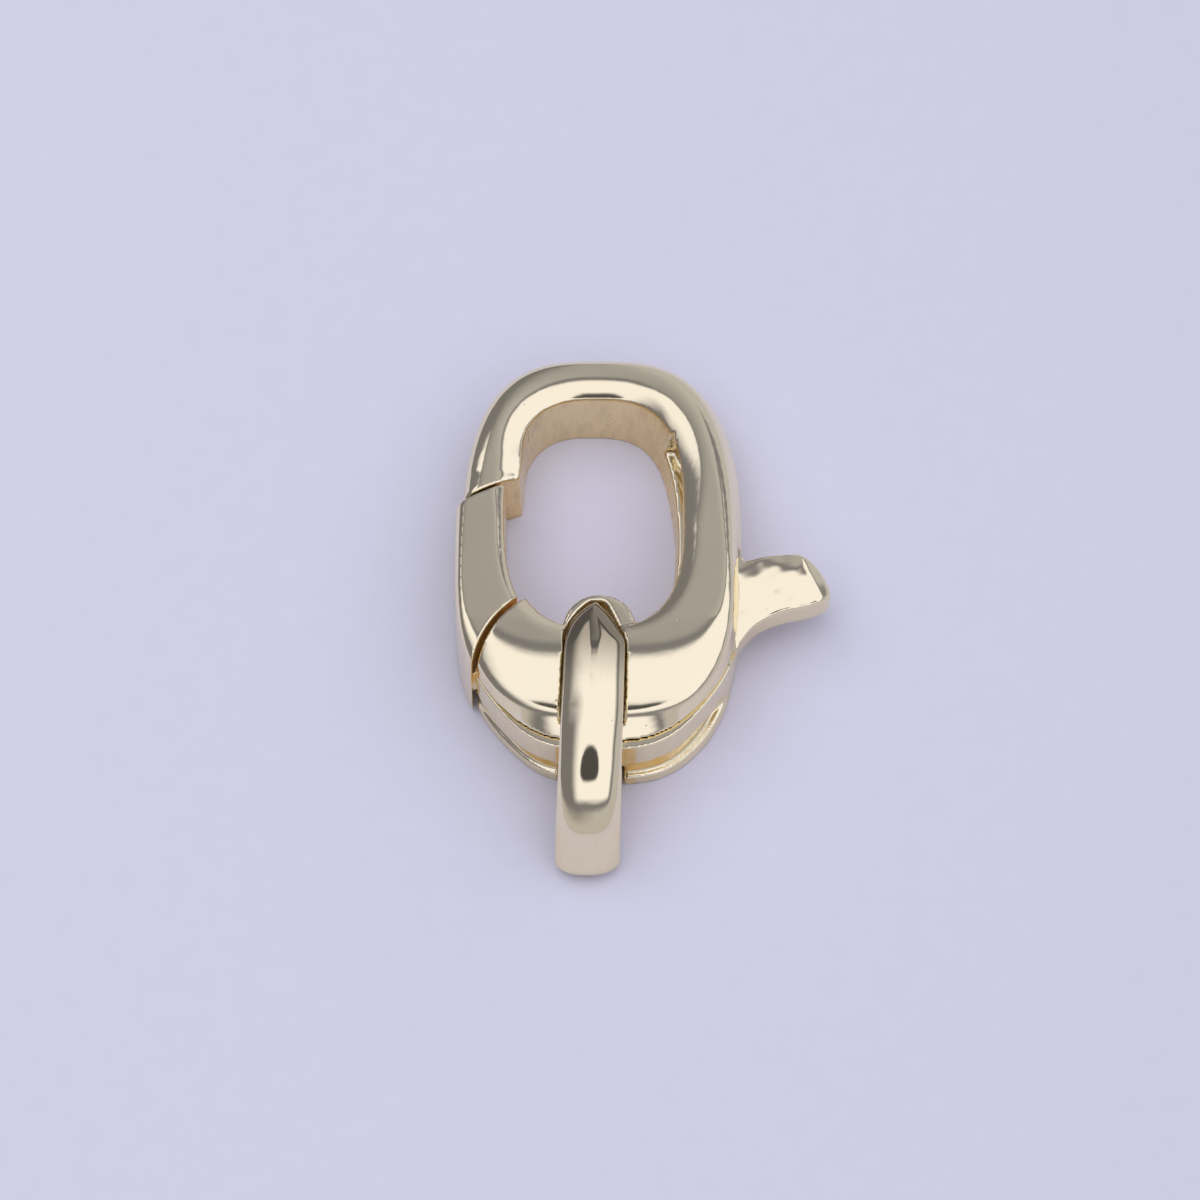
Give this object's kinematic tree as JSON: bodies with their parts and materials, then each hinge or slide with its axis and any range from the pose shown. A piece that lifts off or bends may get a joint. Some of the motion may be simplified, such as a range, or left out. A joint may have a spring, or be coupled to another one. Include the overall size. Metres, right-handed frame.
{
  "type": "lobster clasp",
  "caption": "Oval cast lobster clasp with a sprung gate lever, a thumb tab and a closed bail ring through its base bar.",
  "frame": {"origin": "middle of the hook's opening, on the plane that the clasp's flat back rests on", "axes": "+Z out of the front face, +Y from the bail towards the hook's top, +X towards the thumb tab"},
  "size_m": [0.0155, 0.023, 0.0057],
  "materials": {
    "body_gold": "pale gold plate, polished over a cast surface",
    "lever_gold": "pale gold plate, polished over a cast surface",
    "pin_gold": "pale gold plate",
    "bail_gold": "pale gold plate, polished"
  },
  "bodies": {
    "clasp_body": {"hook_body": "body_gold", "pivot_pin": "pin_gold"},
    "gate_lever": {"lever": "lever_gold"},
    "bail_ring": {"bail": "bail_gold"}
  },
  "joints": [
    {"name": "lever_hinge", "type": "hinge", "parent": "clasp_body", "child": "gate_lever", "pos_m": [0, -0.0084, 0.0024], "axis": [0, 0, -1], "range_deg": [0, 18], "stiffness_Nm_per_rad": 0.02, "springref_deg": -5.73},
    {"name": "bail_swing", "type": "hinge", "parent": "clasp_body", "child": "bail_ring", "pos_m": [0, -0.0056, 0.0026], "axis": [1, 0, 0], "range_deg": [-3.5, 3.5]}
  ]
}
